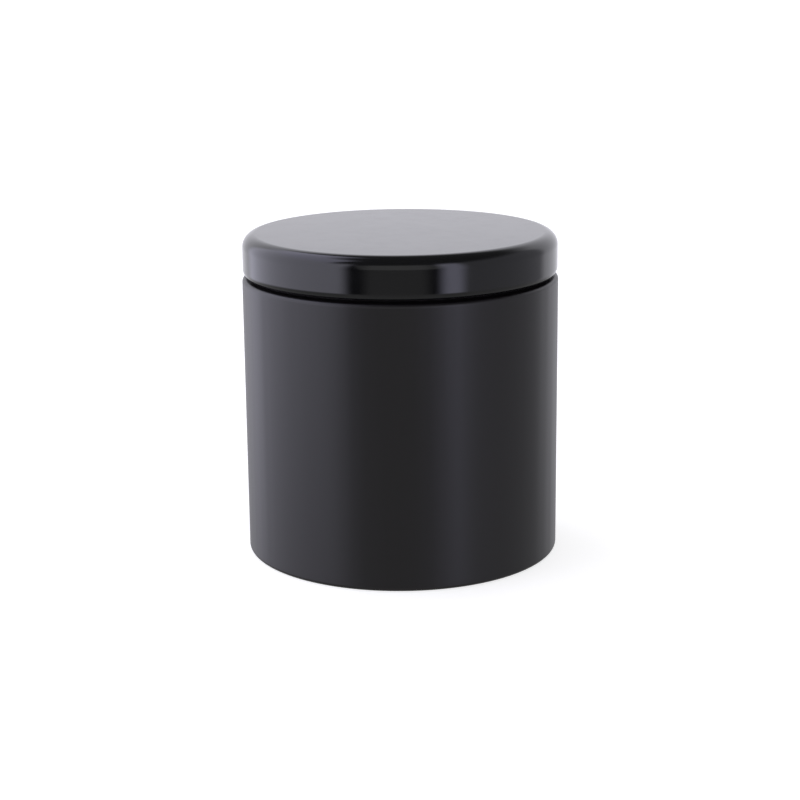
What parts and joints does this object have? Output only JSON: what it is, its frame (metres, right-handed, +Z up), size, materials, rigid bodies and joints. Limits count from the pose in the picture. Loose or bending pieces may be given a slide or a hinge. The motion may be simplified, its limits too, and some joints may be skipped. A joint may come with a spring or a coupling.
{
  "type": "candle tin",
  "caption": "Round drawn-metal candle tin with a rounded slip lid over a stepped neck, filled with a wax candle and a cored wick.",
  "frame": {"origin": "centre of the foot ring, on the surface that the tin stands on", "axes": "+Z up along the tin's axis, which the lid lifts along"},
  "size_m": [0.0804, 0.0804, 0.0825],
  "materials": {
    "can_paint": "satin",
    "lid_paint": "gloss",
    "wax": "satin",
    "wick_cotton": "matte",
    "wick_paper": "matte",
    "tab_steel": "satin",
    "adhesive": "matte"
  },
  "bodies": {
    "can": {"tin_body": "can_paint", "wax_fill": "wax", "wick_braid": "wick_cotton", "wick_core": "wick_paper", "wick_sustainer": "tab_steel", "sustainer_pad": "adhesive"},
    "lid": {"lid": "lid_paint"}
  },
  "joints": [
    {"name": "lid_lift", "type": "slide", "parent": "can", "child": "lid", "axis": [0, 0, 1], "range_m": [0, 0.06]}
  ]
}
